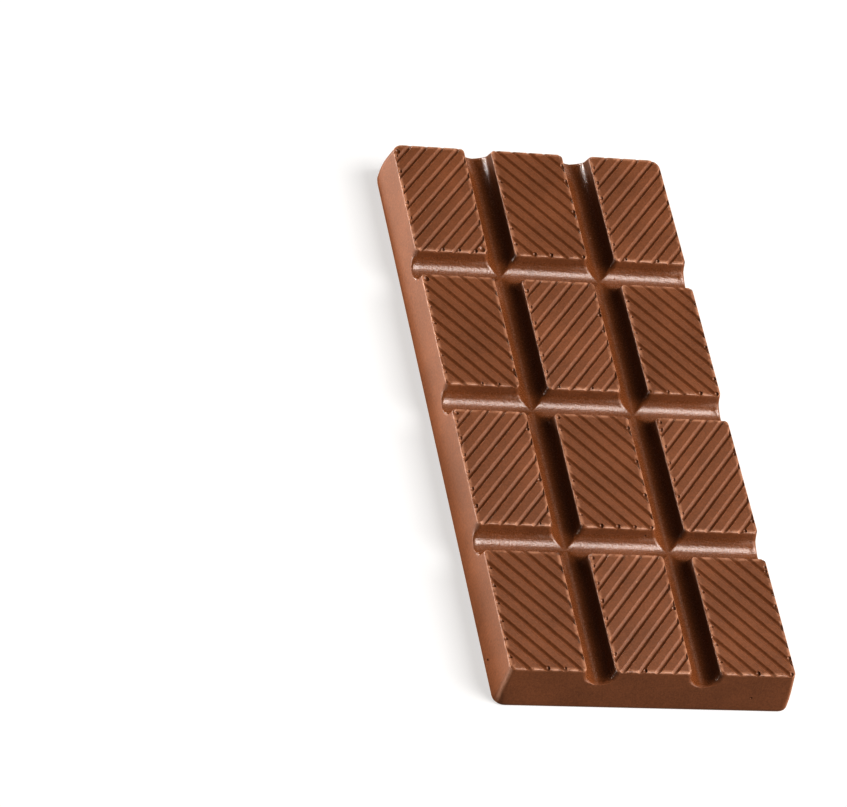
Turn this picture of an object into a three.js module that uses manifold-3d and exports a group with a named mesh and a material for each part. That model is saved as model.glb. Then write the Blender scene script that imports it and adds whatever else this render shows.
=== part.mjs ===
// A moulded milk chocolate bar, lying on its flat back with the moulded face up.
// Millimetres. +X runs across the bar, +Y along it, +Z up; the back lies on z = 0 and the
// origin is in the middle of it. Three columns of four oblong blocks stand between U-shaped
// break channels, and each block's top carries slanting grooves that lean the other way on
// every neighbour. The bar is one solid.
import * as THREE from "three";
import { mergeVertices } from "three/addons/utils/BufferGeometryUtils.js";
import Module from "manifold-3d";

// ---- the bar ----
const BAR_THICKNESS = 9.9;
const COLUMNS = 3;
const ROWS = 4;
const SIDE_DRAFT = 6.9; // degrees the long walls lean in, so that the bar leaves its mould
const END_DRAFT = 10.8; // degrees the short walls lean in
const BACK_ROUND = 0.6; // radius of the edge round the flat back

// ---- the blocks, measured across their tops before the edges are rounded ----
const BLOCK_WIDTH = 16.3;
const BLOCK_LENGTH = 29.9;
const BLOCK_EDGE_ROUND = 0.6; // radius along every top edge
const BLOCK_CORNER_ROUND = 1.0; // upright corners beside a channel
const FAR_CORNER_ROUND = 2.4; // the bar's two upright corners at +Y
const NEAR_CORNER_ROUND = 1.1; // and at -Y

// ---- the break channels ----
const CHANNEL_DEPTH = 3.8;
const LONG_CHANNEL_WIDTH = 6.3; // between columns, measured at the top
const CROSS_CHANNEL_WIDTH = 6.7; // between rows
const CHANNEL_WALL_SLOPE = 15; // degrees from upright

// ---- the grooves on the block tops ----
const GROOVE_PITCH = 2.829; // from one groove to the next, square to them
const GROOVE_ANGLE = 50.24; // degrees from +X
const GROOVE_START = 0.615; // where the first one lies, in pitches from the block's middle
const GROOVE_WIDTH = 0.84;
const GROOVE_FLOOR = 0.22;
const GROOVE_DEPTH = 0.45;
const GROOVE_MARGIN = 0.62; // plain rim between a groove's end and the block's edge
const GROOVE_END_RUN = 0.3; // how far an end slopes in before it reaches the floor

const rad = THREE.MathUtils.degToRad;
const TOP_WIDTH = COLUMNS * BLOCK_WIDTH + (COLUMNS - 1) * LONG_CHANNEL_WIDTH;
const TOP_LENGTH = ROWS * BLOCK_LENGTH + (ROWS - 1) * CROSS_CHANNEL_WIDTH;
const COLUMN_PITCH = BLOCK_WIDTH + LONG_CHANNEL_WIDTH;
const ROW_PITCH = BLOCK_LENGTH + CROSS_CHANNEL_WIDTH;

// Radius of a channel's round bottom: the arc that runs on smoothly into the sloping wall and
// gives the channel its width at the top.
function channelRadius(width) {
  const slope = rad(CHANNEL_WALL_SLOPE);
  const wallOnly = CHANNEL_DEPTH * Math.tan(slope);
  return (width / 2 - wallOnly) / (Math.cos(slope) - (1 - Math.sin(slope)) * Math.tan(slope));
}
const LONG_RADIUS = channelRadius(LONG_CHANNEL_WIDTH);
const CROSS_RADIUS = channelRadius(CROSS_CHANNEL_WIDTH);

// How far a side has moved outwards from the block's unrounded top edge, at a drop below the
// top: first round the rounded edge, then down a wall that leans out by its slope.
function wallRun(drop, slopeDegrees) {
  const slope = rad(slopeDegrees);
  const round = BLOCK_EDGE_ROUND;
  if (drop < round * (1 - Math.sin(slope))) {
    const inset = round * Math.tan(Math.PI / 4 - slope / 2);
    return Math.sqrt(round * round - (round - drop) ** 2) - inset;
  }
  return drop * Math.tan(slope);
}

// The same on a channel's side, where the wall ends in the round bottom.
function channelRun(drop, width, radius) {
  const height = CHANNEL_DEPTH - drop;
  if (height < radius * (1 - Math.sin(rad(CHANNEL_WALL_SLOPE)))) {
    const fromMiddle = Math.sqrt(Math.max(0, radius * radius - (radius - height) ** 2));
    return width / 2 - fromMiddle;
  }
  return wallRun(drop, CHANNEL_WALL_SLOPE);
}

// Drops below the top at which the outline of a block is drawn, down to the channel's bottom.
const EDGE_END = BLOCK_EDGE_ROUND * (1 - Math.sin(rad(CHANNEL_WALL_SLOPE)));
const BLOCK_DROPS = [0, 0.035, 0.16, EDGE_END];
for (const turn of [75, 60, 45, 30, 15, 0]) {
  BLOCK_DROPS.push(CHANNEL_DEPTH - LONG_RADIUS * (1 - Math.cos(rad(turn))));
}

// A corner beside a channel starts sharp at the channel's bottom, where four channels' surfaces
// meet in a cross, and is rounder higher up. The bar's own corners keep their radius.
function cornerRadius(drop, full, beside) {
  const height = CHANNEL_DEPTH - drop;
  const grown = beside ? full * Math.min(1, height / 1.4) : full;
  const shrunk = BLOCK_EDGE_ROUND * 0.8 * Math.max(0, 1 - drop / EDGE_END) ** 2;
  return Math.max(0, grown - shrunk);
}

const CORNER_STEPS = 3;
// One corner's arc, from one side of the block round to the next, counter-clockwise.
function cornerArc(x, y, signX, signY, radius, z) {
  const points = [];
  const start = Math.atan2(signY, signX) - Math.PI / 4;
  for (let i = 0; i <= CORNER_STEPS; i += 1) {
    const a = start + (Math.PI / 2) * (i / CORNER_STEPS);
    const cx = x - signX * radius;
    const cy = y - signY * radius;
    points.push([cx + radius * Math.cos(a), cy + radius * Math.sin(a), z]);
  }
  return points;
}

const CORNERS = [[-1, -1], [1, -1], [1, 1], [-1, 1]];
const barCornerRound = (signY) => (signY > 0 ? FAR_CORNER_ROUND : NEAR_CORNER_ROUND);

// The outline of the block in a column and row, at a drop below its top.
function blockOutline(column, row, drop) {
  const midX = (column - (COLUMNS - 1) / 2) * COLUMN_PITCH;
  const midY = (row - (ROWS - 1) / 2) * ROW_PITCH;
  const points = [];
  for (const [signX, signY] of CORNERS) {
    const outerX = column + signX < 0 || column + signX >= COLUMNS;
    const outerY = row + signY < 0 || row + signY >= ROWS;
    const runX = outerX
      ? wallRun(drop, SIDE_DRAFT)
      : channelRun(drop, LONG_CHANNEL_WIDTH, LONG_RADIUS);
    const runY = outerY
      ? wallRun(drop, END_DRAFT)
      : channelRun(drop, CROSS_CHANNEL_WIDTH, CROSS_RADIUS);
    const x = midX + signX * (BLOCK_WIDTH / 2 + runX);
    const y = midY + signY * (BLOCK_LENGTH / 2 + runY);
    const full = outerX && outerY ? barCornerRound(signY) : BLOCK_CORNER_ROUND;
    const radius = cornerRadius(drop, full, !(outerX && outerY));
    points.push(...cornerArc(x, y, signX, signY, radius, BAR_THICKNESS - drop));
  }
  return points;
}

// The outline of the whole bar below the channels. It has a point at each channel's end, so
// that it meets the blocks' outlines corner to corner.
function barOutline(z, inset) {
  const drop = BAR_THICKNESS - z;
  const halfX = TOP_WIDTH / 2 + wallRun(drop, SIDE_DRAFT) - inset;
  const halfY = TOP_LENGTH / 2 + wallRun(drop, END_DRAFT) - inset;
  const points = [];
  const add = (signX, signY) =>
    points.push(...cornerArc(signX * halfX, signY * halfY, signX, signY,
      barCornerRound(signY), z));
  const channelX = [];
  for (let i = 1; i < COLUMNS; i += 1) channelX.push((i - COLUMNS / 2) * COLUMN_PITCH);
  const channelY = [];
  for (let i = 1; i < ROWS; i += 1) channelY.push((i - ROWS / 2) * ROW_PITCH);
  add(-1, -1);
  for (const x of channelX) points.push([x, -halfY, z]);
  add(1, -1);
  for (const y of channelY) points.push([halfX, y, z]);
  add(1, 1);
  for (const x of [...channelX].reverse()) points.push([x, halfY, z]);
  add(-1, 1);
  for (const y of [...channelY].reverse()) points.push([-halfX, y, z]);
  return points;
}

// Collects triangles, then closes them into one mesh by joining points that coincide.
class Skin {
  constructor() {
    this.corners = [];
  }
  face(a, b, c) {
    this.corners.push(...a, ...b, ...c);
  }
  // The band between two outlines of the same length, lower one first.
  band(low, high) {
    for (let i = 0; i < low.length; i += 1) {
      const j = (i + 1) % low.length;
      this.face(low[i], low[j], high[j]);
      this.face(low[i], high[j], high[i]);
    }
  }
  // A flat face inside an outline, looking up or down.
  cap(outline, up) {
    for (let i = 1; i + 1 < outline.length; i += 1) {
      if (up) this.face(outline[0], outline[i], outline[i + 1]);
      else this.face(outline[0], outline[i + 1], outline[i]);
    }
  }
  geometry() {
    const g = new THREE.BufferGeometry();
    g.setAttribute("position", new THREE.Float32BufferAttribute(this.corners, 3));
    const joined = mergeVertices(g, 1e-4);
    const kept = [];
    const index = joined.index.array;
    for (let i = 0; i < index.length; i += 3) {
      const [a, b, c] = [index[i], index[i + 1], index[i + 2]];
      if (a !== b && b !== c && c !== a) kept.push(a, b, c);
    }
    joined.setIndex(kept);
    return joined;
  }
}

function barBlank() {
  const skin = new Skin();
  const floor = BAR_THICKNESS - CHANNEL_DEPTH;
  const round = BACK_ROUND;
  const outlines = [];
  for (const turn of [90, 45, 0]) {
    const a = rad(turn);
    outlines.push(barOutline(round * (1 - Math.sin(a)), round * (1 - Math.cos(a))));
  }
  outlines.push(barOutline(floor, 0));
  skin.cap(outlines[0], false);
  for (let i = 0; i + 1 < outlines.length; i += 1) skin.band(outlines[i], outlines[i + 1]);
  for (let column = 0; column < COLUMNS; column += 1) {
    for (let row = 0; row < ROWS; row += 1) {
      const rings = BLOCK_DROPS.map((drop) => blockOutline(column, row, drop));
      for (let i = 0; i + 1 < rings.length; i += 1) skin.band(rings[i + 1], rings[i]);
      skin.cap(rings[0], true);
    }
  }
  return skin.geometry();
}

// A closed box between two rectangles, each given by its four corners counter-clockwise.
function boxBetween(low, high) {
  const skin = new Skin();
  skin.cap(low, false);
  skin.band(low, high);
  skin.cap(high, true);
  return skin.geometry();
}

// The long wedge that presses one groove: narrow at its floor, wider towards and above the top.
function grooveWedge(midX, midY, lean, offset) {
  const a = rad(lean > 0 ? GROOVE_ANGLE : 180 - GROOVE_ANGLE);
  const along = [Math.cos(a), Math.sin(a)];
  const across = [Math.sin(a), -Math.cos(a)];
  const reach = BLOCK_LENGTH;
  const rise = 0.5;
  const spread = (GROOVE_WIDTH - GROOVE_FLOOR) / 2 / GROOVE_DEPTH;
  const rectangle = (half, z) =>
    [[1, 1], [1, -1], [-1, -1], [-1, 1]].map(([u, v]) => [
      midX + across[0] * (offset + v * half) + along[0] * u * reach,
      midY + across[1] * (offset + v * half) + along[1] * u * reach,
      z,
    ]);
  const low = rectangle(GROOVE_FLOOR / 2, BAR_THICKNESS - GROOVE_DEPTH);
  const high = rectangle(GROOVE_WIDTH / 2 + rise * spread, BAR_THICKNESS + rise);
  return boxBetween(low, high);
}

// The room the grooves of one block may take up. Its sides lean in as they go down, which
// slopes the grooves' ends.
function grooveRoom(midX, midY) {
  const lean = GROOVE_END_RUN / GROOVE_DEPTH;
  const rectangle = (z) => {
    const inset = GROOVE_MARGIN + (BAR_THICKNESS - z) * lean;
    return CORNERS.map(([signX, signY]) => [
      midX + signX * (BLOCK_WIDTH / 2 - inset),
      midY + signY * (BLOCK_LENGTH / 2 - inset),
      z,
    ]);
  };
  return boxBetween(rectangle(BAR_THICKNESS - 0.6), rectangle(BAR_THICKNESS + 0.4));
}

const wasm = await Module();
wasm.setup();

function toSolid(geometry) {
  return new wasm.Manifold(new wasm.Mesh({
    numProp: 3,
    vertProperties: new Float32Array(geometry.attributes.position.array),
    triVerts: new Uint32Array(geometry.index.array),
  }));
}

function toGeometry(solid) {
  const mesh = solid.getMesh();
  const g = new THREE.BufferGeometry();
  g.setAttribute("position", new THREE.Float32BufferAttribute(mesh.vertProperties, 3));
  g.setIndex(Array.from(mesh.triVerts));
  const flat = g.toNonIndexed();
  flat.computeVertexNormals();
  return flat;
}

function chocolateBar() {
  let bar = toSolid(barBlank());
  const diagonal = (BLOCK_WIDTH + BLOCK_LENGTH) / 2;
  for (let column = 0; column < COLUMNS; column += 1) {
    for (let row = 0; row < ROWS; row += 1) {
      const midX = (column - (COLUMNS - 1) / 2) * COLUMN_PITCH;
      const midY = (row - (ROWS - 1) / 2) * ROW_PITCH;
      const lean = (column + row) % 2 === 1 ? 1 : -1;
      let wedges = null;
      const count = Math.ceil(diagonal / GROOVE_PITCH);
      for (let n = -count; n <= count; n += 1) {
        const offset = (n + GROOVE_START) * GROOVE_PITCH;
        const wedge = toSolid(grooveWedge(midX, midY, lean, offset));
        wedges = wedges ? wedges.add(wedge) : wedge;
      }
      bar = bar.subtract(wedges.intersect(toSolid(grooveRoom(midX, midY))));
    }
  }
  return toGeometry(bar);
}

const chocolate = new THREE.MeshStandardMaterial({
  name: "milk_chocolate",
  color: "#7a4425",
  roughness: 0.45,
  metalness: 0,
});

const group = new THREE.Group();
group.name = "chocolate_bar";
const mesh = new THREE.Mesh(chocolateBar(), chocolate);
mesh.name = "moulded_bar";
group.add(mesh);

export default group;
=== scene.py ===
# %% [markdown]
# # A moulded bar of milk chocolate
#
# This lesson makes a bar of milk chocolate: blocks that stand between rounded break channels, with
# slanting grooves pressed into the top of every block. A real bar takes its form from a hard mould,
# so everything on it follows the mould maker's drawing: flat lands, walls with draft, small
# roundings, and ribs at an even pitch. That is why nearly all of it is made by rules here.

# %% Load the frame
from math import cos, radians, sin, tan

import bpy
from mathutils import Matrix, Vector


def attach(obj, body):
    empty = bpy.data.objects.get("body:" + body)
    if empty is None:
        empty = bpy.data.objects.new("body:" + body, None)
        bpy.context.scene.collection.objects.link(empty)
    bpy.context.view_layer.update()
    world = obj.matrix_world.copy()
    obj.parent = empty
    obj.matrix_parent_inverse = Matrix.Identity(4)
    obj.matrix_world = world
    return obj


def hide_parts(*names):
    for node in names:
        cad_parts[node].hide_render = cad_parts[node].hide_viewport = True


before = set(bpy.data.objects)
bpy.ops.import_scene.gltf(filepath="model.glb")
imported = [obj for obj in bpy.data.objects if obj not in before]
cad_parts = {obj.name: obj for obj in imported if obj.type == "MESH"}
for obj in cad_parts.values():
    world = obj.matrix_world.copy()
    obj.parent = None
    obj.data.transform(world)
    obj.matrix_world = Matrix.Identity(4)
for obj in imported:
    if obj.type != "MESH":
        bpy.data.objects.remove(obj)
bpy.context.view_layer.update()

# %% [markdown]
# ## The sizes on the mould maker's drawing
#
# All lengths are in millimetres and all slopes in degrees, because that is how a mould is drawn.
# The node trees below work in millimetres too, and the very last one turns the result to metres.

# %% Sizes of the bar, its blocks and its channels
BAR = {
    "Thickness": 9.9,
    "Channel depth": 3.8,
    "Block width": 16.3,
    "Block length": 29.9,
    "Long channel": 6.3,
    "Cross channel": 6.7,
    "Channel slope": 15.0,
    "Side draft": 6.9,
    "End draft": 10.8,
    "Edge round": 0.32,
    "Block corner": 1.0,
    "Far corner": 2.4,
    "Far corner growth": 2.6,
    "Near corner growth": 1.2,
    "Near corner": 1.1,
    "Back round": 0.6,
    "Mouth reach": 0.9,
}
COLUMNS, ROWS = 3, 4
COLUMN_PITCH = BAR["Block width"] + BAR["Long channel"]
ROW_PITCH = BAR["Block length"] + BAR["Cross channel"]
print(COLUMNS * ROWS, "blocks,", round(ROW_PITCH, 2), "mm from one row to the next")

# %% [markdown]
# ## Arithmetic inside a node tree
#
# Geometry Nodes can follow a formula, but a formula of fifty Math nodes is hard to write by hand.
# The small class below lets Python's own signs do it: adding two `Number`s adds a Math node to
# the tree, so that a wall's slope can be written as it would be on paper.

# %% A number that lives in a node tree
def fill(tree, socket, value):
    """Links a node's output to a socket, or sets the socket to a plain value."""
    if isinstance(value, Number):
        tree.links.new(value.socket, socket)
    elif isinstance(value, bpy.types.NodeSocket):
        tree.links.new(value, socket)
    else:
        socket.default_value = value


class Number:
    """An output socket that can be added to, multiplied and compared like a number."""

    def __init__(self, tree, socket):
        self.tree = tree
        self.socket = socket

    def math(self, operation, *others, swap=False):
        node = self.tree.nodes.new("ShaderNodeMath")
        node.operation = operation
        values = (*others, self) if swap else (self, *others)
        for socket, value in zip(node.inputs, values):
            fill(self.tree, socket, value)
        return Number(self.tree, node.outputs[0])

    def __add__(self, other):
        return self.math("ADD", other)

    def __radd__(self, other):
        return self.math("ADD", other)

    def __sub__(self, other):
        return self.math("SUBTRACT", other)

    def __rsub__(self, other):
        return self.math("SUBTRACT", other, swap=True)

    def __mul__(self, other):
        return self.math("MULTIPLY", other)

    def __rmul__(self, other):
        return self.math("MULTIPLY", other)

    def __truediv__(self, other):
        return self.math("DIVIDE", other)

    def __neg__(self):
        return self.math("MULTIPLY", -1.0)

    def __lt__(self, other):
        return self.math("LESS_THAN", other)

    def __gt__(self, other):
        return self.math("GREATER_THAN", other)

    def sin(self):
        return self.math("RADIANS").math("SINE")

    def cos(self):
        return self.math("RADIANS").math("COSINE")

    def tan(self):
        return self.math("RADIANS").math("TANGENT")

    def root(self):
        return self.math("MAXIMUM", 0.0).math("SQRT")

    def clamped(self):
        return self.math("MAXIMUM", 0.0).math("MINIMUM", 1.0)


def choose(flag, if_one, if_zero):
    """if_one where the flag is 1, and if_zero where it is 0."""
    return if_zero + flag * (if_one - if_zero)


print("Number has", len([n for n in vars(Number) if not n.startswith("__")]), "named steps")

# %% Nodes by name
def socket_named(sockets, label):
    """The socket with that label that is in use: some nodes keep several under one name."""
    return next(s for s in sockets if s.name == label and s.enabled)


def add_node(tree, kind, inputs=None, **settings):
    """Adds a node, makes its settings, then fills its inputs by their labels."""
    node = tree.nodes.new(kind)
    for name, value in settings.items():
        setattr(node, name, value)
    for label, value in (inputs or {}).items():
        fill(tree, socket_named(node.inputs, label), value)
    return node


print("a node can be filled by its sockets' labels")

# %% Starting, ending and running a tree
SOCKET_KINDS = {
    float: "NodeSocketFloat",
    int: "NodeSocketInt",
    tuple: "NodeSocketVector",
    bpy.types.Object: "NodeSocketObject",
    bpy.types.Material: "NodeSocketMaterial",
}


def new_tree(name, sizes):
    """A geometry tree with one named input for each size, and those inputs as Numbers."""
    tree = bpy.data.node_groups.new(name, "GeometryNodeTree")
    tree.interface.new_socket("Geometry", in_out="OUTPUT", socket_type="NodeSocketGeometry")
    for label, value in sizes.items():
        kind = value if isinstance(value, type) else type(value)
        socket = tree.interface.new_socket(label, in_out="INPUT", socket_type=SOCKET_KINDS[kind])
        if not isinstance(value, type):
            socket.default_value = value
    entry = tree.nodes.new("NodeGroupInput")
    return tree, {label: Number(tree, entry.outputs[label]) for label in sizes}


def end_tree(tree, geometry, material=None):
    """Ends a tree as every tree here ends: instances made real, then the material."""
    real = add_node(tree, "GeometryNodeRealizeInstances", {"Geometry": geometry})
    coated = add_node(tree, "GeometryNodeSetMaterial", {"Geometry": real.outputs[0]})
    if material is not None:
        fill(tree, coated.inputs["Material"], material)
    result = tree.nodes.new("NodeGroupOutput")
    tree.links.new(coated.outputs[0], result.inputs[0])


def grow(name, tree, values=None):
    """Runs a tree on an empty object, and keeps what it makes as a plain mesh."""
    piece = bpy.data.objects.new(name, bpy.data.meshes.new(name))
    bpy.context.scene.collection.objects.link(piece)
    modifier = piece.modifiers.new(tree.name, "NODES")
    modifier.node_group = tree
    for item in tree.interface.items_tree:
        if item.in_out == "INPUT" and item.name in (values or {}):
            modifier[item.identifier] = values[item.name]
    depsgraph = bpy.context.evaluated_depsgraph_get()
    mesh = bpy.data.meshes.new_from_object(piece.evaluated_get(depsgraph))
    piece.modifiers.clear()
    piece.data = mesh
    print(name, "has", len(mesh.vertices), "points and", len(mesh.polygons), "faces")
    return piece


print("trees can take", ", ".join(kind.__name__ for kind in SOCKET_KINDS))

# %% [markdown]
# ## The shape of a wall
#
# Seen in section, a block's side starts with a small rounding at the top edge and runs down a
# straight wall that leans outwards, so that the bar drops out of its mould. On a channel's side the
# wall ends in the channel's round bottom. Both functions say how far a side has moved outwards at
# a given drop below the top. They only use sums, so they make nodes when they are given `Number`s.

# %% How far a side runs out
def wall_run(drop, slope, rounding):
    """Outward run of a plain wall, starting from the unrounded top edge."""
    turned = (rounding * rounding - (rounding - drop) * (rounding - drop)).root()
    on_round = turned - rounding * (45.0 - slope / 2.0).tan()
    on_wall = drop * slope.tan()
    return choose(drop < rounding * (1.0 - slope.sin()), on_round, on_wall)


def channel_radius(width, depth, slope):
    """Radius of the round bottom that runs on smoothly into both sloping walls."""
    half = width / 2.0 - depth * slope.tan()
    return half / (slope.cos() - (1.0 - slope.sin()) * slope.tan())


def channel_run(drop, width, depth, slope, rounding):
    """Outward run on a channel's side, down to the middle of its round bottom."""
    radius = channel_radius(width, depth, slope)
    height = depth - drop
    chord = (radius * radius - (radius - height) * (radius - height)).root()
    near_bottom = height < radius * (1.0 - slope.sin())
    return choose(near_bottom, width / 2.0 - chord, wall_run(drop, slope, rounding))


print("a wall turns through", 90 - BAR["Channel slope"], "degrees at its top edge")

# %% [markdown]
# ## One block's outline, at any drop
#
# A block is a stack of rounded rectangles, one for each drop below its top. Each point of such a
# ring belongs to a corner (0 to 3, counter-clockwise), and is either on that corner's arc or on
# the straight side after it. A corner beside a channel is sharp at the channel's bottom, where
# four round bottoms meet in a pointed cross, and it gets rounder further up. The points on the
# straight sides crowd towards the corners, where the shape changes fastest. Bevels could round all
# this too, but they fail where four channels meet, and a formula doesn't.

# %% Where a ring's points go
ARC_STEPS = 6
SIDE_STEPS = 24
RING = 4 * (ARC_STEPS + 1 + SIDE_STEPS)
EDGE_LEVELS = 5
WALL_LEVELS = 2
BOTTOM_LEVELS = 12
LEVELS = EDGE_LEVELS + WALL_LEVELS + BOTTOM_LEVELS


def drop_at(level, s):
    """Drop below the top at each level: round the edge, down the wall, round the bottom."""
    slope = s["Channel slope"]
    turn = 90.0 - slope
    edge = s["Edge round"] * (1.0 - (turn * level / float(EDGE_LEVELS)).cos())
    edge_end = s["Edge round"] * (1.0 - slope.sin())
    radius = channel_radius(s["Long channel"], s["Channel depth"], slope)
    bottom_start = s["Channel depth"] - radius * (1.0 - slope.sin())
    wall_share = (level - float(EDGE_LEVELS)) / float(WALL_LEVELS + 1)
    wall = edge_end + (bottom_start - edge_end) * wall_share
    rest = (float(LEVELS) - level) / float(BOTTOM_LEVELS - 1)
    bottom = s["Channel depth"] - radius * (1.0 - (turn * rest).cos())
    below_edge = choose(level > EDGE_LEVELS + WALL_LEVELS + 0.5, bottom, wall)
    return choose(level > EDGE_LEVELS + 0.5, below_edge, edge)


print(RING, "points in a ring,", LEVELS + 1, "rings in a block")

# %% Where a block's corners are
ROUND_CORNER_FROM = 1.4  # height over a channel's bottom from which a corner has its full radius
EDGE_TIGHTENING = 0.8  # how much of the edge rounding a corner's radius loses at the very top


def middle_of_block(s, column, row):
    """The middle of a block, counted from the bar's middle."""
    x = (column - (COLUMNS - 1) / 2) * (s["Block width"] + s["Long channel"])
    y = (row - (ROWS - 1) / 2) * (s["Block length"] + s["Cross channel"])
    return x, y


def corner_of_block(corner, s, column, row, drop):
    """One corner's unrounded place, less its radius; the radius; and which sides face outwards."""
    sign_x = (225.0 + 90.0 * corner).cos().math("SIGN")
    sign_y = (225.0 + 90.0 * corner).sin().math("SIGN")
    beside_x, beside_y = column + sign_x, row + sign_y
    outer_x = (beside_x < -0.5) + (beside_x > COLUMNS - 0.5)
    outer_y = (beside_y < -0.5) + (beside_y > ROWS - 0.5)
    depth, slope, rounding = s["Channel depth"], s["Channel slope"], s["Edge round"]
    run_x = choose(
        outer_x,
        wall_run(drop, s["Side draft"], rounding),
        channel_run(drop, s["Long channel"], depth, slope, rounding),
    )
    run_y = choose(
        outer_y,
        wall_run(drop, s["End draft"], rounding),
        channel_run(drop, s["Cross channel"], depth, slope, rounding),
    )
    bar_corner = outer_x * outer_y
    own = choose(sign_y > 0.0, s["Far corner"], s["Near corner"])
    share = ((depth - drop) / ROUND_CORNER_FROM).clamped()
    grown = choose(bar_corner, own, s["Block corner"] * share)
    edge_left = (1.0 - drop / (rounding * (1.0 - slope.sin()))).math("MAXIMUM", 0.0)
    tightened = EDGE_TIGHTENING * rounding * edge_left * edge_left
    radius = (grown - tightened).math("MAXIMUM", 0.0)
    mid_x, mid_y = middle_of_block(s, column, row)
    x = mid_x + sign_x * (s["Block width"] / 2.0 + run_x - radius)
    y = mid_y + sign_y * (s["Block length"] / 2.0 + run_y - radius)
    mouth = (outer_x + outer_y - 2.0 * bar_corner) * (1.0 - share)
    return x, y, radius, outer_x * sign_x, outer_y * sign_y, mouth


print("the middles of two blocks in a row are", round(COLUMN_PITCH, 2), "mm apart")

# %% [markdown]
# ## The blank: blocks, channels and walls
#
# Without its grooves a bar is a plain blank: blocks, channels, leaning walls and a flat back. It
# could be cut from a box by hand, but every block has other neighbours, and one rule serves all.
# The tree lays a flat grid for one block's sides and a disc for its top, puts a copy on each of
# the twelve places, and moves every point to where the formula wants it. Where two blocks
# share a channel's middle line their points coincide, and merging joins them. What is then still
# open is one long edge round the bar.

# %% Nodes that every field uses
def attribute(tree, name):
    """A value that was stored on the points earlier in the tree."""
    node = add_node(tree, "GeometryNodeInputNamedAttribute", {"Name": name}, data_type="FLOAT")
    return Number(tree, socket_named(node.outputs, "Attribute"))


def store(tree, geometry, name, value, domain="POINT"):
    """Stores a value on every point under a name."""
    inputs = {"Geometry": geometry, "Name": name, "Value": value}
    node = add_node(tree, "GeometryNodeStoreNamedAttribute", inputs,
                    data_type="FLOAT", domain=domain)
    return node.outputs[0]


def index(tree):
    """The number of each point, counted from 0."""
    return Number(tree, add_node(tree, "GeometryNodeInputIndex").outputs[0])


def position(tree):
    """The place of each point, as three Numbers."""
    here = add_node(tree, "GeometryNodeInputPosition")
    split = add_node(tree, "ShaderNodeSeparateXYZ", {"Vector": here.outputs[0]})
    return [Number(tree, socket) for socket in split.outputs]


def vector(tree, x, y, z):
    """One vector out of three values."""
    node = add_node(tree, "ShaderNodeCombineXYZ", {"X": x, "Y": y, "Z": z})
    return node.outputs[0]


def join(tree, *geometries):
    """Several geometries as one."""
    node = tree.nodes.new("GeometryNodeJoinGeometry")
    for geometry in reversed(geometries):
        tree.links.new(geometry, node.inputs[0])
    return node.outputs[0]


print("a field can read a point's number, its place and its stored values")

# %% One block as a flat sheet
def block_sheet(tree):
    """One block's sides as a flat grid and its top as a fan, with each point's place noted."""
    grid = add_node(tree, "GeometryNodeMeshGrid", {
        "Size X": float(RING), "Size Y": float(LEVELS),
        "Vertices X": RING + 1, "Vertices Y": LEVELS + 1,
    })
    x, y, _ = position(tree)
    around = (x + RING / 2).math("ROUND").math("MODULO", float(RING))
    sides = store(tree, grid.outputs[0], "around", around)
    sides = store(tree, sides, "level", (y + LEVELS / 2).math("ROUND"))
    disc = add_node(tree, "GeometryNodeMeshCircle", {"Vertices": RING}, fill_type="TRIANGLE_FAN")
    top = store(tree, disc.outputs[0], "around", index(tree))
    top = store(tree, top, "middle", index(tree) > RING - 0.5)
    flipped = add_node(tree, "GeometryNodeFlipFaces", {"Mesh": sides})
    return join(tree, flipped.outputs[0], top)


print("one block's sides take", RING * LEVELS, "quads")

# %% Every block in its place
MERGE_WITHIN = 0.0002  # millimetres, like every length before the last tree
NUDGE = 0.001  # keeps a quotient that should be whole from being rounded down to the number before


def column_and_row(tree):
    """Which column and row a block belongs to, out of its number."""
    number = index(tree)
    row = (number / float(COLUMNS) + NUDGE).math("FLOOR")
    return number - row * float(COLUMNS), row


def corner_ease(s, face, sign, push_x, push_y):
    """How far a point goes along one axis as one of the bar's own corners grows rounder."""
    growth = choose(push_y > 0.0, s["Far corner growth"], s["Near corner growth"])
    return (push_x * push_y).math("ABSOLUTE") * growth * (face - sign)


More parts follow.
